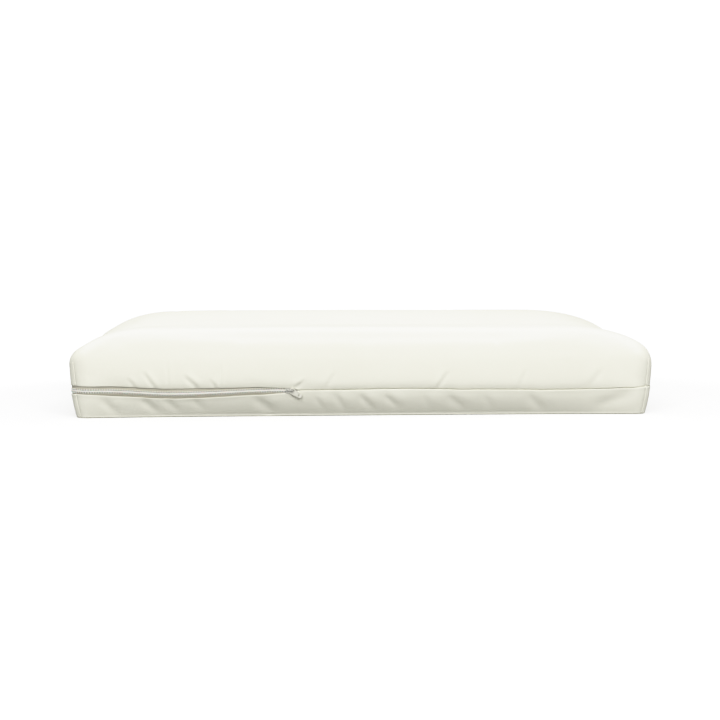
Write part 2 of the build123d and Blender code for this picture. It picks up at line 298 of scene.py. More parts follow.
def midpoints(rows, closed):
    """Points half-way between rows, on a smooth curve through them."""
    if closed:
        before, after, later = np.roll(rows, 1, 0), np.roll(rows, -1, 0), np.roll(rows, -2, 0)
        return (9 * (rows + after) - before - later) / 16
    padded = np.concatenate([[2 * rows[0] - rows[1]], rows, [2 * rows[-1] - rows[-2]]])
    return (9 * (padded[1:-2] + padded[2:-1]) - padded[:-3] - padded[3:]) / 16


def refine(grid):
    """The grid with twice the stations and twice the rings."""
    columns = np.swapaxes(grid, 0, 1)
    finer = np.empty((2 * len(columns),) + columns.shape[1:])
    finer[0::2] = columns
    finer[1::2] = midpoints(columns, closed=True)
    rings = np.swapaxes(finer, 0, 1)
    finer = np.empty((2 * len(rings) - 1,) + rings.shape[1:])
    finer[0::2] = rings
    finer[1::2] = midpoints(rings, closed=False)
    return finer


def grid_normals(grid):
    """Outward normals of a grid whose rings run anticlockwise."""
    along = np.roll(grid, -1, axis=1) - np.roll(grid, 1, axis=1)
    up = np.gradient(grid, axis=0)
    normal = np.cross(along, up)
    return normal / np.maximum(np.linalg.norm(normal, axis=-1), 1e-9)[..., None]


def cloth_coordinates(grid):
    """(across, along) in millimetres for the weave: threads keep to lines of equal x on the long sides and
    of equal y on the ends, and the other coordinate is the length of cloth from the lip."""
    stations = grid.shape[1]
    share = np.arange(stations) / stations
    long_part = STATIONS_LONG / STATIONS
    corner_part = STATIONS_CORNER / STATIONS
    end_part = STATIONS_END / STATIONS
    half = long_part + end_part + 2 * corner_part
    on_long = (share % half) < long_part + corner_part / 2
    on_long |= (share % half) > half - corner_part / 2
    across = np.where(on_long, grid[..., 0], grid[..., 1])
    step = np.diff(grid, axis=0)
    sideways = np.where(on_long, step[..., 0], step[..., 1])
    length = np.sqrt(np.maximum((step**2).sum(axis=-1) - sideways**2, 0))
    along = np.concatenate([np.zeros((1, stations)), np.cumsum(length, axis=0)])
    return np.stack([across, along], axis=-1)


# ---- Meshes --------------------------------------------------------------------------------------
def grid_faces(rings, stations, close_middle):
    """Quads between neighbouring rings, and across the last ring from the front to the back."""
    ring_index, station = np.meshgrid(np.arange(rings - 1), np.arange(stations), indexing="ij")
    following = (station + 1) % stations
    quads = np.stack(
        [
            ring_index * stations + station,
            ring_index * stations + following,
            (ring_index + 1) * stations + following,
            (ring_index + 1) * stations + station,
        ],
        axis=-1,
    ).reshape(-1, 4)
    faces = [tuple(quad) for quad in quads.tolist()]
    if close_middle:
        faces += middle_faces((rings - 1) * stations, stations)
    return faces


def station_counts(stations):
    """How many stations a long side, a corner and an end have, on a ring with that many in all."""
    scale = stations // STATIONS
    return STATIONS_LONG * scale, STATIONS_CORNER * scale, STATIONS_END * scale


def middle_faces(base, stations):
    """Quads across the last ring: the front's stations are joined to the back's that face them."""
    long_count, corner, end = station_counts(stations)
    right_turn = list(range(long_count, long_count + 2 * corner + end + 1))
    back_start = right_turn[-1]
    faces = [
        (base + i, base + i + 1, base + back_start + long_count - i - 1, base + back_start + long_count - i)
        for i in range(long_count)
    ]
    half = len(right_turn) // 2
    left_start = back_start + long_count
    left_turn = [(left_start + i) % stations for i in range(2 * corner + end + 1)]
    for turn in (right_turn, left_turn):
        for i in range(half):
            a, b, c, d = turn[i], turn[i + 1], turn[-2 - i], turn[-1 - i]
            corners = (a, b, d) if b == c else (a, b, c, d)
            faces.append(tuple(base + corner_index for corner_index in corners))
    return faces


def make_object(name, points, faces, uv=None, smooth=True):
    """A mesh object from points in millimetres. uv has one pair for each point."""
    mesh = bpy.data.meshes.new(name)
    mesh.from_pydata((np.asarray(points).reshape(-1, 3) * MM).tolist(), [], faces)
    mesh.update()
    if uv is not None:
        layer = mesh.uv_layers.new(name="cloth")
        corner_vertex = np.empty(len(mesh.loops), dtype=np.int32)
        mesh.loops.foreach_get("vertex_index", corner_vertex)
        layer.data.foreach_set("uv", (np.asarray(uv).reshape(-1, 2)[corner_vertex] * MM).ravel())
    if smooth:
        mesh.polygons.foreach_set("use_smooth", [True] * len(mesh.polygons))
    piece = bpy.data.objects.new(name, mesh)
    bpy.context.scene.collection.objects.link(piece)
    return piece


# ---- What the fabric does on the form -------------------------------------------------------------
DART_TOP = 79.0
DART_FADE = 12.0  # the stretch below its top over which a dart fades in
DART_GROOVE = (0.9, 2.6)  # depth and width
SEAM_LIP = (0.5, 3.0)  # how far the tray's edge stands out, and over what height

# Creases of the front wall over and under the seam: (x, z) of both ends, width and depth
CREASES = [
    (-316, 52, -306, 40, 2.4, 1.0),
    (-295, 61, -280, 39, 2.6, 1.2),
    (-264, 80, -263, 42, 2.2, 0.4),
    (-239, 55, -222, 39, 3.0, 1.3),
    (-205, 50, -198, 40, 2.2, 1.0),
    (-192, 70, -194, 40, 2.2, 0.7),
    (-90, 41, -80, 49, 2.4, 1.0),
    (-50, 40, -37, 60, 3.0, 0.6),
    (102, 38, 117, 61, 2.8, 1.0),
    (214, 38, 222, 62, 3.4, 0.6),
    (310, 40, 326, 62, 4.5, 0.6),
    (-354, 26, -334, 6, 6.5, 1.4),
    (-300, 25, -277, 6, 5.9, 1.6),
    (-268, 24, -250, 8, 5.2, 1.1),
    (-232, 24, -214, 10, 5.2, 0.9),
    (-146, 24, -120, 4, 7.2, 2.2),
    (-64, 26, -52, 8, 4.5, 0.9),
    (-37, 30, -25, 8, 4.7, 1.2),
    (-2, 28, 14, 8, 5.2, 1.6),
    (31, 28, 50, 10, 5.2, 1.5),
    (84, 26, 92, 8, 5.2, 0.8),
    (118, 26, 138, 7, 6.5, 1.6),
    (168, 26, 176, 8, 5.2, 0.8),
    (228, 26, 246, 6, 6.5, 1.4),
    (318, 12, 372, 30, 9.1, 1.4),
]
CREASE_TAPER = 7.0  # how far past its ends a crease fades out
CREASE_FULL = (0.3, 0.6)  # it is at its full depth between these shares of its length
RIDGE_HEIGHT = 0.55  # of the ridge along one side of a crease, as a share of the crease's depth
RIDGE_PLACE = 1.9  # in the crease's widths, as is the next
RIDGE_WIDTH = 1.7
PLAIN_CORNER = (22.0, 8.0)  # creases fade out between these distances from a wall's ends


def crease_depth(along_wall, height, creases):
    """How far creases pull a wall in, at places along it and up it."""
    depth = np.zeros_like(height)
    for x0, z0, x1, z1, width, amount in creases:
        length = math.hypot(x1 - x0, z1 - z0)
        direction = ((x1 - x0) / length, (z1 - z0) / length)
        from_x, from_z = along_wall - x0, height - z0
        travel = from_x * direction[0] + from_z * direction[1]
        across = from_z * direction[0] - from_x * direction[1]
        fade = smooth_step(travel, -CREASE_TAPER, length * CREASE_FULL[0])
        fade = fade * (1 - smooth_step(travel, length * CREASE_FULL[1], length + CREASE_TAPER))
        groove = np.exp(-((across / width) ** 2))
        ridge = np.exp(-(((across - RIDGE_PLACE * width) / (RIDGE_WIDTH * width)) ** 2))
        depth += amount * fade * (groove - RIDGE_HEIGHT * ridge)
    return depth


def random_creases(seed, reach, spacing):
    """Creases for a wall that isn't the front: short and slanting, above and below the seam."""
    random = np.random.default_rng(seed)
    creases = []
    place = -reach
    while place < reach:
        lean = random.uniform(-9, 14)
        above = random.random() < 0.5
        start, end = (40, random.uniform(50, 62)) if above else (27, random.uniform(5, 12))
        width = random.uniform(2.4, 4.8)
        creases.append((place, start, place + lean, end, width, random.uniform(0.6, 1.5)))
        place += spacing * random.uniform(0.6, 1.4)
    return creases


def crease_walls(grid):
    """Presses each wall's creases into the grid, and fades them out towards the corners."""
    normal = grid_normals(grid)
    x, y, z = (grid[..., axis] for axis in range(3))
    walls = [
        (-normal[..., 1], x, HALF_LENGTH, CREASES),
        (normal[..., 1], x, HALF_LENGTH, random_creases(3, HALF_LENGTH - 40, 42)),
        (-normal[..., 0], y, HALF_WIDTH, random_creases(5, HALF_WIDTH - 40, 46)),
        (normal[..., 0], y, HALF_WIDTH, random_creases(8, HALF_WIDTH - 40, 50)),
    ]
    depth = np.zeros_like(z)
    for facing, along_wall, half, creases in walls:
        near_corner = smooth_step(np.abs(along_wall), half - PLAIN_CORNER[0], half - PLAIN_CORNER[1])
        on_wall = smooth_step(facing, 0.75, 0.95) * (1 - near_corner)
        depth += on_wall * crease_depth(along_wall, z, creases)
    return grid - normal * depth[..., None]


def corner_columns(stations):
    """The column in the middle of each corner."""
    long_count, corner, end = station_counts(stations)
    firsts = [long_count, long_count + corner + end, 2 * long_count + 2 * corner + end]
    firsts.append(2 * long_count + 3 * corner + 2 * end)
    return [first + corner // 2 for first in firsts]


def press_darts(grid, top):
    """Pulls the fabric in along the dart seam of each corner, up to that height."""
    normal = grid_normals(grid)
    depth = np.zeros(grid.shape[:2])
    amount, width = DART_GROOVE
    for column in corner_columns(grid.shape[1]):
        away = np.linalg.norm(grid[..., :2] - grid[:, column : column + 1, :2], axis=-1)
        near = (away < CORNER_RADIUS) & (np.abs(normal[..., 2]) < 0.6)
        fade = 1 - smooth_step(grid[..., 2], top - DART_FADE, top)
        depth += near * fade * amount * np.exp(-((away / width) ** 2))
    return grid - normal * depth[..., None]


HEM_TURNED_IN = 4.0  # how far the hem reaches back behind the fabric


def fold_edge(grid, upward):
    """Adds the folded hem before the grid's first ring. upward is -1 if the fabric hangs from its hem."""
    edge, inner = grid[0], grid[2]
    outward = grid_normals(grid)[0] * upward
    outward[:, 2] = 0
    outward /= np.linalg.norm(outward, axis=-1)[:, None]
    away = edge - inner
    away /= np.linalg.norm(away, axis=-1)[:, None]
    middle = edge - outward * HEM
    rings = [middle - outward * HEM - away * HEM_TURNED_IN, middle - outward * HEM]
    for turn in np.radians([150, 120, 90, 60, 30]):
        rings.append(middle + HEM * (math.cos(turn) * outward + math.sin(turn) * away))
    return np.concatenate([np.stack(rings), grid])


# ---- Cloth simulation ------------------------------------------------------------------------------
CLOTH_FRAMES = 18
CLOTH_PRESSURE = 1.5
CLOTH_CAP = 2.2  # the furthest that the fabric moves
GATHER = 0.012  # the cloth by the seam is cut this much longer than the seam
GATHERED_RINGS = 12
CALM_CORNER = (80.0, 35.0)  # the movement dies down between these distances from the corners
CORNER_CALM = 0.85  # and by this share


def simulate_cloth(grid):
    """The upper cover's grid after its cloth has filled out, held at its lip."""
    rings, stations = grid.shape[:2]
    cloth = make_object("cloth", grid, grid_faces(rings, stations, True))
    pinned = cloth.vertex_groups.new(name="pinned")
    pinned.add(list(range(stations)), 1.0, "REPLACE")
    gathered = cloth.vertex_groups.new(name="gathered")
    for row in range(GATHERED_RINGS):
        members = list(range(row * stations, (row + 1) * stations))
        gathered.add(members, 1 - row / GATHERED_RINGS, "REPLACE")
    modifier = cloth.modifiers.new("cloth", "CLOTH")
    settings = modifier.settings
    settings.quality = 5
    settings.mass = 0.25
    settings.tension_stiffness = 18
    settings.compression_stiffness = 12
    settings.shear_stiffness = 6
    settings.bending_stiffness = 0.6
    settings.vertex_group_mass = "pinned"
    settings.pin_stiffness = 1.0
    settings.vertex_group_shrink = "gathered"
    settings.shrink_min = 0.0
    settings.shrink_max = -GATHER
    settings.use_pressure = True
    settings.uniform_pressure_force = CLOTH_PRESSURE
    settings.effector_weights.gravity = 0.0
    modifier.collision_settings.use_collision = False
    scene = bpy.context.scene
    for frame_number in range(1, CLOTH_FRAMES + 1):
        scene.frame_set(frame_number)
    depsgraph = bpy.context.evaluated_depsgraph_get()
    settled = bpy.data.meshes.new_from_object(cloth.evaluated_get(depsgraph))
    points = np.empty(len(settled.vertices) * 3)
    settled.vertices.foreach_get("co", points)
    scene.frame_set(1)
    bpy.data.objects.remove(cloth)
    moved = points.reshape(grid.shape) / MM - grid
    start, full = CALM_CORNER
    by_end = smooth_step(np.abs(grid[..., 0]), HALF_LENGTH - start, HALF_LENGTH - full)
    by_side = smooth_step(np.abs(grid[..., 1]), HALF_WIDTH - start, HALF_WIDTH - full)
    moved = moved * (1 - CORNER_CALM * by_end * by_side)[..., None]
    distance = np.linalg.norm(moved, axis=-1)[..., None]
    return grid + moved * (CLOTH_CAP * np.tanh(distance / CLOTH_CAP) / np.maximum(distance, 1e-9))


# ---- Materials -------------------------------------------------------------------------------------
def srgb(red, green, blue):
    """A colour given as 0 to 255 in sRGB, as linear values."""
    values = [v / 255 for v in (red, green, blue)]
    return tuple(v / 12.92 if v <= 0.04045 else ((v + 0.055) / 1.055) ** 2.4 for v in values)


class Shader:
    """A material's node tree, with short ways to add and join nodes."""

    def __init__(self, name, roughness, **constants):
        self.material = bpy.data.materials.new(name)
        self.material.use_nodes = True
        self.tree = self.material.node_tree
        self.surface = self.tree.nodes["Principled BSDF"]
        self.surface.inputs["Roughness"].default_value = roughness
        for socket, value in constants.items():
            self.surface.inputs[socket.replace("_", " ")].default_value = value

    def add(self, kind, inputs=(), **properties):
        """A new node. Each of inputs is a value, or the socket of another node."""
        node = self.tree.nodes.new(kind)
        for key, value in properties.items():
            setattr(node, key, value)
        for key, value in dict(inputs).items():
            if isinstance(value, bpy.types.NodeSocket):
                self.tree.links.new(value, node.inputs[key])
            else:
                node.inputs[key].default_value = value
        return node

    def math(self, operation, first, second=0.0):
        return self.add("ShaderNodeMath", {0: first, 1: second}, operation=operation).outputs[0]

    def noise(self, scale, detail=2.0, vector=None, roughness=0.5):
        inputs = {"Scale": scale, "Detail": detail, "Roughness": roughness}
        if vector is None:
            vector = self.add("ShaderNodeTexCoord").outputs["Object"]
        inputs["Vector"] = vector
        return self.add("ShaderNodeTexNoise", inputs).outputs["Fac"]

    def ramp(self, factor, stops):
        """A colour ramp through (place, linear colour)."""
        node = self.add("ShaderNodeValToRGB", {"Fac": factor})
        elements = node.color_ramp.elements
        while len(elements) < len(stops):
            elements.new(0.5)
        for element, (place, color) in zip(elements, stops):
            element.position = place
            element.color = (*color, 1)
        return node.outputs["Color"]

    def color(self, output):
        self.tree.links.new(output, self.surface.inputs["Base Color"])

    def bump(self, height, distance, strength=1.0, under=None):
        """Raises the surface by a texture, on top of the bump given as under."""
        inputs = {"Height": height, "Distance": distance, "Strength": strength}
        if under is not None:
            inputs["Normal"] = under
        output = self.add("ShaderNodeBump", inputs).outputs["Normal"]
        self.tree.links.new(output, self.surface.inputs["Normal"])
        return output


FABRIC_PITCH = 0.48  # from one thread to the next
TAPE_PITCH = 0.55
TAPE_RIB = 1.1
THREAD_WOBBLE = 2.5  # how far threads stray, in radians of the weave


def weave(shader, pitch):
    """A plain weave's height, and the cloth coordinates: each thread goes over and under in turn."""
    uv = shader.add("ShaderNodeUVMap", uv_map="cloth").outputs["UV"]
    wobble = shader.noise(90.0, 1.0, uv)
    parts = shader.add("ShaderNodeSeparateXYZ", {"Vector": uv}).outputs
    turns = math.pi / (pitch * MM)
    waves = []
    for part in (parts[0], parts[1]):
        straight = shader.math("MULTIPLY", part, turns)
        wavy = shader.math("MULTIPLY", wobble, THREAD_WOBBLE)
        waves.append(shader.math("SINE", shader.math("ADD", straight, wavy)))
    return shader.math("MULTIPLY", waves[0], waves[1]), uv


def fabric_material(name, bright, shade):
    """Smooth plain-weave cotton with slight slubs and a soft nap."""
    shader = Shader(name, 0.9, Sheen_Weight=0.25, Sheen_Roughness=0.45, Specular_IOR_Level=0.25)
    over, uv = weave(shader, FABRIC_PITCH)
    slubs = []
    for scale in ((1.0, 9.0, 1.0), (9.0, 1.0, 1.0)):
        stretched = shader.add("ShaderNodeMapping", {"Vector": uv, "Scale": scale}).outputs[0]
        slubs.append(shader.math("MULTIPLY", shader.noise(260.0, 2.0, stretched), 0.5))
    cloudy = shader.math("MULTIPLY", shader.noise(7.0, 3.0), 0.4)
    mixed = shader.math("ADD", slubs[0], slubs[1])
    tone = shader.math("ADD", shader.math("MULTIPLY", mixed, 0.6), cloudy)
    tone = shader.math("ADD", tone, shader.math("MULTIPLY", over, 0.05))
    shader.color(shader.ramp(tone, [(0.3, shade), (0.7, bright)]))
    soft = shader.bump(shader.noise(30.0, 3.0), 0.0008, 0.25)
    soft = shader.bump(mixed, 0.00012, 0.4, soft)
    shader.bump(over, 0.00008, 0.5, soft)
    return shader.material


GAP_SHADE_EDGE = 2.4  # painted shade: the tape is drawn dark up to this far from the zip's middle, where the gaps between the teeth lie in shadow


def tape_material():
    """A tightly woven zip tape with ribs across it, and painted shade along its corded edge, where the gaps
    between the teeth lie in shadow.
    """
    shader = Shader("zip_tape", 0.85, Sheen_Weight=0.15, Specular_IOR_Level=0.3)
    over, uv = weave(shader, TAPE_PITCH)
    parts = shader.add("ShaderNodeSeparateXYZ", {"Vector": uv}).outputs
    rib = shader.math("SINE", shader.math("MULTIPLY", parts[0], 2 * math.pi / (TAPE_RIB * MM)))
    tone = shader.math("ADD", shader.math("MULTIPLY", over, 0.1), shader.noise(60.0, 3.0))
    # painted shade: near the zip's middle the tone drops to the darkest stops of the ramp, standing for the
    # shadow in the gaps between the teeth
    tone = shader.math("SUBTRACT", tone, shader.math("LESS_THAN", parts[1], GAP_SHADE_EDGE * MM))
    gap_shade = srgb(100, 97, 87)
    shade = srgb(172, 168, 151)
    bright = srgb(193, 189, 173)
    shader.color(shader.ramp(tone, [(0.0, gap_shade), (0.1, gap_shade), (0.15, shade), (0.75, bright)]))
    under = shader.bump(rib, 0.0001, 0.5)
    shader.bump(over, 0.0001, 0.6, under)
    return shader.material


def teeth_material():
    """Moulded acetal: a little translucent, with a faint flow texture."""
    shader = Shader("zip_teeth", 0.38, Subsurface_Weight=0.15, Subsurface_Scale=0.001)
    tone = shader.noise(160.0, 2.0)
    shader.color(shader.ramp(tone, [(0.35, srgb(236, 234, 223)), (0.65, srgb(247, 246, 238))]))
    shader.bump(shader.noise(900.0, 2.0), 0.00003, 0.3)
    return shader.material


def lacquer_material(name, dark, light, metallic, roughness):
    """Lacquered zinc, lighter on its edges from wear, with painted shade darkening its hollows."""
    shader = Shader(name, roughness, Metallic=metallic, Coat_Weight=0.3, Coat_Roughness=0.2)
    pointiness = shader.add("ShaderNodeNewGeometry").outputs["Pointiness"]
    # painted shade: low pointiness in hollows and corners takes the colour to the dark stop, while high
    # pointiness on edges takes it to the light one, as wear
    wear_and_shade = shader.math("ADD", shader.math("MULTIPLY", shader.noise(420.0, 4.0), 0.35), pointiness)
    shader.color(shader.ramp(wear_and_shade, [(0.55, dark), (0.78, light)]))
    shader.bump(shader.noise(700.0, 3.0), 0.00002, 0.35)
    return shader.material


def foam_material():
    """Open-cell foam: irregular pores in a warm white."""
    shader = Shader("foam", 0.95, Sheen_Weight=0.1)
    where = shader.add("ShaderNodeTexCoord").outputs["Object"]
    cells = shader.add("ShaderNodeTexVoronoi", {"Vector": where, "Scale": 900.0}).outputs["Distance"]
    tone = shader.math("ADD", cells, shader.math("MULTIPLY", shader.noise(40.0, 3.0), 0.3))
    shader.color(shader.ramp(tone, [(0.1, srgb(214, 205, 176)), (0.6, srgb(240, 234, 212))]))
    shader.bump(cells, 0.0005, 0.7)
    return shader.material


def liner_material():
    """A satin film with fine creases."""
    shader = Shader("liner_film", 0.35, Coat_Weight=0.2)
    folds = shader.noise(45.0, 5.0, roughness=0.6)
    shader.color(shader.ramp(folds, [(0.3, srgb(222, 226, 226)), (0.7, srgb(238, 240, 240))]))
    shader.bump(folds, 0.0012, 0.4)
    return shader.material


# ---- The zip ---------------------------------------------------------------------------------------
TOOTH_PITCH = 3.39
# Half of a tooth from the tip of its head to its root, as (along the zip, from its middle)
TOOTH_OUTLINE = [
    (0.35, -1.2),
    (0.74, -0.95),
    (0.82, -0.3),
    (0.7, 0.3),
    (0.68, 0.9),
    (0.7, 1.6),
    (0.66, 2.5),
    (0.45, 3.1),
]
TOOTH_LAYERS = [(-1.2, 0.8), (-0.95, 1.0), (0.95, 1.0), (1.2, 0.8)]  # (out of the pad, scale)
TOOTH_BEVEL = 0.12
FIRST_TOOTH = 3.0  # past the slider's middle
STOP_ROOM = 5.6  # for the bottom stop, at the zip's far end
TAPE_STEP = 3.0
TAPE_UPRIGHT = 3.2  # past this distance the lower tape leans in with the tray's wall
TAPE_LEAN = 0.6  # by this much for each millimetre
ZIP_OUT = 0.8  # the drawn zip stands this much nearer the lips' faces than its CAD
ZIP_OUT_CORNER = 2.2  # and this much past the front's left end, where the corner pushes it out
ZIP_OUT_CHANGE = (-3.0, 12.0)  # the stretch where it changes, from where the corner starts
# From its corded edge outwards, as (from the zip's middle, half thickness)
TAPE_PROFILE = [
    (0.95, 0.3),
    (1.15, 0.75),
    (1.6, 0.95),
    (2.05, 0.75),
    (2.4, 0.35),
    (3.2, 0.3),
    (6.0, 0.3),
    (8.0, 0.3),
    (11.0, 0.3),
]


def zip_place(distance, stretches):
    """The place and the outward direction that far along the zip. stretches has its straight and turn."""
    straight, turn = stretches
    flat_x, flat_y = CHAIN_HALF_X - CHAIN_RADIUS, CHAIN_HALF_Y - CHAIN_RADIUS
    if distance < straight:
        return (OPENING_END - distance, -CHAIN_HALF_Y), (0.0, -1.0)
    distance -= straight
    if distance < turn:
        angle = distance / CHAIN_RADIUS
        facing = (-math.sin(angle), -math.cos(angle))
        return (-flat_x + CHAIN_RADIUS * facing[0], -flat_y + CHAIN_RADIUS * facing[1]), facing
    distance -= turn
    if distance < 2 * flat_y:
        return (-CHAIN_HALF_X, -flat_y + distance), (-1.0, 0.0)
    distance -= 2 * flat_y
    if distance < turn:
        angle = distance / CHAIN_RADIUS
        facing = (-math.cos(angle), math.sin(angle))
        return (-flat_x + CHAIN_RADIUS * facing[0], flat_y + CHAIN_RADIUS * facing[1]), facing
    return (-flat_x + distance - turn, CHAIN_HALF_Y), (0.0, 1.0)


def zip_path(step):
    """Places along the zip's middle from its open end round to the far one: (points, outward)."""
    straight = OPENING_END + CHAIN_HALF_X - CHAIN_RADIUS
    turn = CHAIN_RADIUS * math.pi / 2
    total = 2 * (straight + turn + CHAIN_HALF_Y - CHAIN_RADIUS)
    distance = np.arange(0, total, step)
    places = [zip_place(d, (straight, turn)) for d in distance]
    points = np.array([place for place, facing in places])
    outward = np.array([facing for place, facing in places])
    past_corner = smooth_step(distance, straight + ZIP_OUT_CHANGE[0], straight + ZIP_OUT_CHANGE[1])
    out = ZIP_OUT + (ZIP_OUT_CORNER - ZIP_OUT) * past_corner
    points = points + outward * out[:, None]
    flat = np.zeros(len(outward))
    return np.column_stack([points, seam_line(*points.T)]), np.column_stack([outward, flat])


def tooth_template():
    """One upper tooth, as points (along, out of the pad, up) and faces."""
    outline = TOOTH_OUTLINE + [(-x, z) for x, z in reversed(TOOTH_OUTLINE)]
    middle = sum(z for _, z in outline) / len(outline)
    count = len(outline)
    points = []
    for depth, scale in TOOTH_LAYERS:
        points += [(x * scale, depth, middle + (z - middle) * scale) for x, z in outline]
    faces = [tuple(range(count)), tuple(reversed(range(3 * count, 4 * count)))]
    for layer in range(0, 3 * count, count):
        for i in range(count):
            j = (i + 1) % count
            faces.append((layer + j, layer + i, layer + count + i, layer + count + j))
    return np.array(points), faces


def build_teeth(name, side):
    """A row of separate teeth along the zip's middle."""
    template, template_faces = tooth_template()
    path, outward = zip_path(TOOTH_PITCH / 2)
    start = 2 * int((OPENING_END - SLIDER_X + FIRST_TOOTH) / TOOTH_PITCH)
    if side < 0:
        start += 1
    end = len(path) - int(2 * STOP_ROOM / TOOTH_PITCH)
    up = np.array([0.0, 0.0, 1.0])
    points, faces = [], []
    for i in range(start, end, 2):
        ahead = path[min(i + 1, len(path) - 1)] - path[i - 1]
        ahead /= np.linalg.norm(ahead)
        rise = np.cross(outward[i], ahead)
        rise *= np.sign(rise @ up) * side
        base = len(points) * len(template)
        points.append(
            path[i] + template[:, :1] * ahead + template[:, 1:2] * outward[i] + template[:, 2:] * rise
        )
        faces += [tuple(base + v for v in face) for face in template_faces]
    row = make_object(name, np.concatenate(points), faces, smooth=False)
    bevel = row.modifiers.new("rounded", "BEVEL")
    bevel.width = TOOTH_BEVEL * MM
    bevel.segments = 1
    bevel.limit_method = "ANGLE"
    return row


def build_tape(name, side):
    """A woven tape with a corded edge, along one side of the zip."""
    path, outward = zip_path(TAPE_STEP)
    loop = TAPE_PROFILE + [(z, -half) for z, half in reversed(TAPE_PROFILE)]
    points = np.empty((len(loop), len(path), 3))
    uv = np.empty((len(loop), len(path), 2))
    for i, (z, depth) in enumerate(loop):
        lean = TAPE_LEAN * max(z - TAPE_UPRIGHT, 0) if side < 0 else 0
        points[i] = path + outward * (depth - lean)
        points[i, :, 2] += side * z
        uv[i, :, 0] = np.arange(len(path)) * TAPE_STEP
        uv[i, :, 1] = z
    count = len(path)
    faces = []
    for i in range(len(loop)):
        this, following = i * count, (i + 1) % len(loop) * count
        for k in range(count - 1):
            faces.append((this + k, this + k + 1, following + k + 1, following + k))
    for k in (0, count - 1):
        faces.append(tuple(i * count + k for i in range(len(loop))))
    return make_object(name, points, faces, uv)


# ---- The pad's pieces ------------------------------------------------------------------------------
LINER_INSET = 7.0
FOAM_INSET = 8.5
WELT_RADIUS = 0.75
TUBE_SIDES = 8
ASLANT = (0.3, 0.5, 0.8)  # no tube runs in this direction


def build_tube(name, path, radius):
    """A round tube through points."""
    path = np.asarray(path)
    tangent = np.gradient(path, axis=0)
    tangent /= np.linalg.norm(tangent, axis=-1)[:, None]
    side = np.cross(tangent, ASLANT)
    side /= np.linalg.norm(side, axis=-1)[:, None]
    other = np.cross(tangent, side)
    turns = np.linspace(0, 2 * math.pi, TUBE_SIDES, endpoint=False)
    points = [path + radius * (math.cos(turn) * side + math.sin(turn) * other) for turn in turns]
    faces = grid_faces(len(path), TUBE_SIDES, False)
    faces.append(tuple(reversed(range(TUBE_SIDES))))
    faces.append(tuple(range((len(path) - 1) * TUBE_SIDES, len(path) * TUBE_SIDES)))
    return make_object(name, np.stack(points, axis=1), faces)


SEAM_STRIP_DEPTH = 1.6  # from the hems' outer faces to the sewn seam between them
SEAM_STRIP_HALF = 2.2
SEAM_STRIP_HOLLOW = 0.3  # its middle lies this much further in than its edges
SEAM_STRIP_STEP = 4.0  # of cloth from one station to the next


def build_seam_strip():
    """The sewn seam that closes the cover where there is no zip: a strip behind the two hems."""
    half_x = HALF_LENGTH - SEAM_SETBACK_X - SEAM_STRIP_DEPTH
    half_y = HALF_WIDTH - SEAM_SETBACK_Y - SEAM_STRIP_DEPTH
    plan = ring(half_x, half_y, SEAM_RADIUS - SEAM_STRIP_DEPTH)
    sewn = plan[:, 0] > OPENING_END
    plan = np.roll(plan, -int(np.argmax(sewn)), axis=0)[: int(sewn.sum())]
    heights = seam_line(*plan.T)
    rises = (-SEAM_STRIP_HALF, 0.0, SEAM_STRIP_HALF)
    rows = [np.column_stack([plan, heights + rise]) for rise in rises]
    outward = np.cross(np.gradient(rows[1], axis=0), (0.0, 0.0, 1.0))
    outward /= np.linalg.norm(outward, axis=-1)[:, None]
    rows[1] = rows[1] - outward * SEAM_STRIP_HOLLOW
    count = len(plan)
    faces = []
    for low in (0, count):
        faces += [(low + i, low + i + 1, low + count + i + 1, low + count + i) for i in range(count - 1)]
    along = np.arange(count) * SEAM_STRIP_STEP
    uv = np.stack([np.column_stack([along, np.full(count, rise)]) for rise in rises])
    return make_object("seam_strip", np.stack(rows), faces, uv)


def dress(piece, material, body, slot, *nodes):
    """Gives a piece its material and body, and hides the CAD nodes it stands for. slot is not used."""
    piece.data.materials.append(material)
    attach(piece, body)
    if nodes:
        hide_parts(*nodes)
    return piece


def turn_faces_outward(piece):
    """Makes a closed shell's faces look away from its middle, and an open one's agree."""
    shape = bmesh.new()
    shape.from_mesh(piece.data)
    bmesh.ops.recalc_face_normals(shape, faces=shape.faces)
    shape.to_mesh(piece.data)
    shape.free()


def build_shell(name, grid, uv=None):
    """A piece from a grid, shut across its last ring, with its faces turned to one side."""
    piece = make_object(name, grid, grid_faces(*grid.shape[:2], True), uv)
    turn_faces_outward(piece)
    return piece


def finish_tray(tray):
    """The lower cover's fine grid, with its creases and darts, and an edge that stands out a little.

    The creases and darts need rings that run upwards, and the tray's run down from its lip."""
    lower = press_darts(crease_walls(refine(tray)[::-1]), HEIGHT)[::-1]
    below_lip = lower[0:1, :, 2] - lower[..., 2]
    amount, reach = SEAM_LIP
    bulge = amount * np.exp(-((below_lip / reach) ** 2)) * (lower[..., 2] > BASE_ROUNDING)
    return lower - grid_normals(lower) * bulge[..., None]


def build_foam(base, tray):
    """One closed block inside both covers."""
    upper = base - grid_normals(base) * FOAM_INSET
    lower = tray + grid_normals(tray) * FOAM_INSET
    first_lower = upper.shape[0] * STATIONS
    faces = grid_faces(*upper.shape[:2], True)
    faces += [tuple(first_lower + v for v in face) for face in grid_faces(*lower.shape[:2], True)]
    for i in range(STATIONS):
        j = (i + 1) % STATIONS
        faces.append((i, j, first_lower + j, first_lower + i))
    piece = make_object("foam_block", np.concatenate([upper.reshape(-1, 3), lower.reshape(-1, 3)]), faces)
    turn_faces_outward(piece)
    return piece


# ---- Camera, light and floor ----------------------------------------------------------------------
FOCAL_SHARE = 2.477  # focal length as a share of the frame's width
CAMERA_DISTANCE = 2.613
CAMERA_HEIGHT = 0.280
CAMERA_ASIDE = 0.0023
CAMERA_YAW = 1.54
CAMERA_PITCH = 4.79
CAMERA_ROLL = -0.27
SENSOR = 36.0


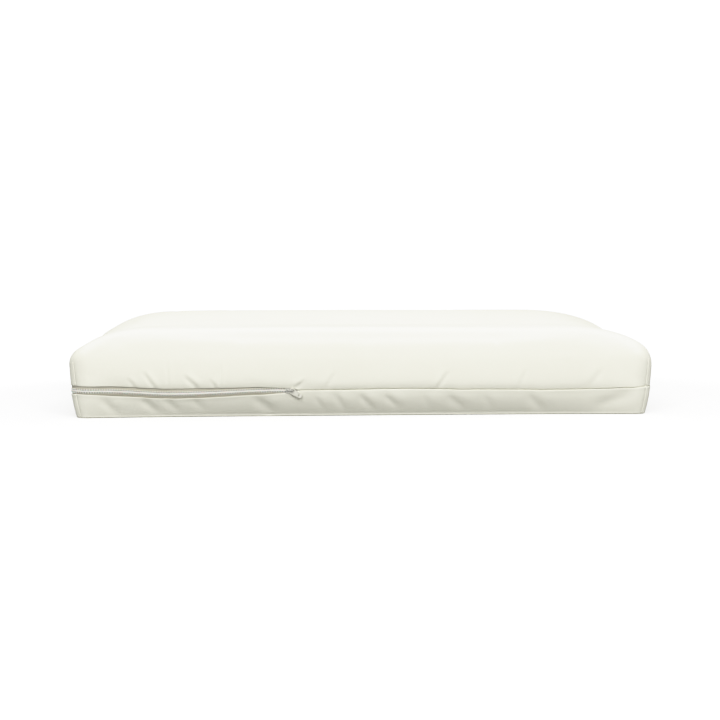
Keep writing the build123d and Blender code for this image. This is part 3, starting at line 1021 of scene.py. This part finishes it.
def add_camera():
    """A long lens in front of the pad and a little above it."""
    data = bpy.data.cameras.new("camera")
    data.sensor_width = SENSOR
    data.lens = SENSOR * FOCAL_SHARE
    data.clip_end = 50
    camera = bpy.data.objects.new("camera", data)
    yaw = math.radians(CAMERA_YAW)
    ahead, right = (math.sin(yaw), math.cos(yaw)), (math.cos(yaw), -math.sin(yaw))
    x, y = (CAMERA_ASIDE * right[i] - CAMERA_DISTANCE * ahead[i] for i in (0, 1))
    camera.location = (x, y, CAMERA_HEIGHT)
    turn = Matrix.Rotation(-yaw, 3, "Z") @ Matrix.Rotation(math.radians(90 - CAMERA_PITCH), 3, "X")
    turn = turn @ Matrix.Rotation(math.radians(CAMERA_ROLL), 3, "Z")
    camera.rotation_euler = turn.to_euler()
    bpy.context.scene.collection.objects.link(camera)
    bpy.context.scene.camera = camera


def add_light(name, location, target, size, power):
    """A rectangular softbox that faces the target."""
    data = bpy.data.lights.new(name, "AREA")
    data.shape = "RECTANGLE"
    data.size, data.size_y = size
    data.energy = power
    lamp = bpy.data.objects.new(name, data)
    lamp.location = location
    lamp.rotation_euler = (Vector(target) - Vector(location)).to_track_quat("-Z", "Y").to_euler()
    bpy.context.scene.collection.objects.link(lamp)


FLOOR_HALF = 6.0
FLOOR_DROP = 0.0002  # just below the pad's underside
FLOOR_THROWN = (0.1, 0.1, 0.095)  # what the floor throws back on the pad
FLOOR_SHOWN = 1.45
SHOWN_WHITE = 2.0
FADE_REACH = (0.52, 0.40)  # from the pad's middle to where the floor starts to fade to white
FADE_END = 1.7  # times as far, it is all white


def add_stage():
    """A plain floor that shows pale, fades to white away from the pad and throws back little light."""
    mesh = bpy.data.meshes.new("floor")
    corners = [(-1, -1), (1, -1), (1, 1), (-1, 1)]
    mesh.from_pydata([(x * FLOOR_HALF, y * FLOOR_HALF, 0) for x, y in corners], [], [(0, 1, 2, 3)])
    floor = bpy.data.objects.new("floor", mesh)
    floor.location.z = -FLOOR_DROP
    bpy.context.scene.collection.objects.link(floor)
    shader = Shader("floor", 0.5)
    dark = shader.add("ShaderNodeBsdfDiffuse", {"Color": (*FLOOR_THROWN, 1)}).outputs[0]
    light = shader.add("ShaderNodeBsdfDiffuse", {"Color": (FLOOR_SHOWN,) * 3 + (1,)}).outputs[0]
    white = shader.add("ShaderNodeEmission", {"Strength": SHOWN_WHITE}).outputs[0]
    place = shader.add("ShaderNodeTexCoord").outputs["Object"]
    scale = (1 / FADE_REACH[0], 1 / FADE_REACH[1], 1)
    place = shader.add("ShaderNodeMapping", {"Vector": place, "Scale": scale}).outputs[0]
    away = shader.add("ShaderNodeVectorMath", {0: place}, operation="LENGTH").outputs["Value"]
    reach = {"Value": away, "From Min": 1.0, "From Max": FADE_END}
    fade = shader.add("ShaderNodeMapRange", reach, interpolation_type="SMOOTHSTEP").outputs["Result"]
    shown = shader.add("ShaderNodeMixShader", {0: fade, 1: light, 2: white}).outputs[0]
    seen = shader.add("ShaderNodeLightPath").outputs["Is Camera Ray"]
    surface = shader.add("ShaderNodeMixShader", {0: seen, 1: dark, 2: shown}).outputs[0]
    output = shader.tree.nodes["Material Output"]
    shader.tree.links.new(surface, output.inputs["Surface"])
    shader.tree.nodes.remove(shader.surface)
    mesh.materials.append(shader.material)


CURVE_WHITE = 1.7  # the light that shows as full white
# (light, what it shows as)
CURVE_POINTS = [(0.3, 0.3), (0.6, 0.6), (0.85, 0.8), (1.0, 0.885), (1.15, 0.925), (1.35, 0.955)]


def add_world(strength):
    """White all round, and fully white where the camera sees it."""
    world = bpy.data.worlds.new("studio")
    world.use_nodes = True
    tree = world.node_tree
    background = tree.nodes["Background"]
    background.inputs["Color"].default_value = (1, 1, 1, 1)
    path = tree.nodes.new("ShaderNodeLightPath")
    shown = tree.nodes.new("ShaderNodeMapRange")
    shown.inputs["To Min"].default_value = strength
    shown.inputs["To Max"].default_value = SHOWN_WHITE
    tree.links.new(path.outputs["Is Camera Ray"], shown.inputs["Value"])
    tree.links.new(shown.outputs["Result"], background.inputs["Strength"])
    bpy.context.scene.world = world


def set_exposure_curve():
    """A curve that keeps detail in the bright fabric, as a studio picture's does."""
    view = bpy.context.scene.view_settings
    view.view_transform = "Standard"
    view.use_curve_mapping = True
    view.curve_mapping.white_level = (CURVE_WHITE,) * 3
    curve = view.curve_mapping.curves[3]
    for light, shown in CURVE_POINTS:
        curve.points.new(light / CURVE_WHITE, shown)
    view.curve_mapping.update()


# ---- Making it all ---------------------------------------------------------------------------------
add_camera()
add_stage()
add_world(0.68)
set_exposure_curve()
add_light("front_softbox", (0.0, -3.4, 2.1), (0, 0, 0.05), (4.0, 1.8), 150.0)

cotton = fabric_material("cover_cotton", srgb(247, 246, 231), srgb(241, 240, 224))
base = top_grid()
settled = simulate_cloth(base)
upper = press_darts(crease_walls(refine(settled)), DART_TOP)
tray = tray_grid()
lower = finish_tray(tray)

for side, fabric, hem_side in (("top", upper, 1), ("bottom", lower, -1)):
    folded = fold_edge(fabric, hem_side)
    piece = build_shell(f"cover_{side}_fabric", folded, cloth_coordinates(folded))
    dress(piece, cotton, "pad", "cover_fabric", f"cover_{side}")

film = liner_material()
for side, grid, inward in (("top", base, -1), ("bottom", tray, 1)):
    piece = build_shell(f"liner_{side}_film", grid + inward * grid_normals(grid) * LINER_INSET)
    dress(piece, film, "pad", "liner_film", f"liner_{side}")

foam = build_foam(base, tray)
dress(foam, foam_material(), "pad", "foam", "foam_core")

for column in corner_columns(upper.shape[1]):
    upright = upper[upper[:, column, 2] < DART_TOP, column]
    for side, path in (("top", upright), ("bottom", lower[: 2 * TRAY_RINGS, column])):
        welt = build_tube(f"dart_welt_{side}_{column}", path, WELT_RADIUS)
        dress(welt, cotton, "pad", "cover_fabric")

dress(build_seam_strip(), cotton, "pad", "cover_fabric")

zip_rows = (("upper", 1), ("lower", -1))
ivory = teeth_material()
for row, rise in zip_rows:
    dress(build_teeth(f"teeth_{row}", rise), ivory, "pad", "zip_teeth", f"zip_teeth_{row}")
woven = tape_material()
for row, rise in zip_rows:
    dress(build_tape(f"tape_{row}", rise), woven, "pad", "zip_tape", f"zip_tape_{row}")

metal = lacquer_material("slider_metal", srgb(150, 148, 138), srgb(236, 235, 226), 0.7, 0.3)
cream = lacquer_material("pull_lacquer", srgb(186, 185, 172), srgb(216, 215, 203), 0.0, 0.4)
stops = lacquer_material("stop_metal", srgb(170, 168, 156), srgb(226, 225, 214), 0.6, 0.35)
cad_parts["slider_body"].material_slots[0].material = metal
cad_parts["pull_tab"].material_slots[0].material = cream
for node in ("top_stop_upper", "top_stop_lower", "bottom_stop"):
    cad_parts[node].material_slots[0].material = stops
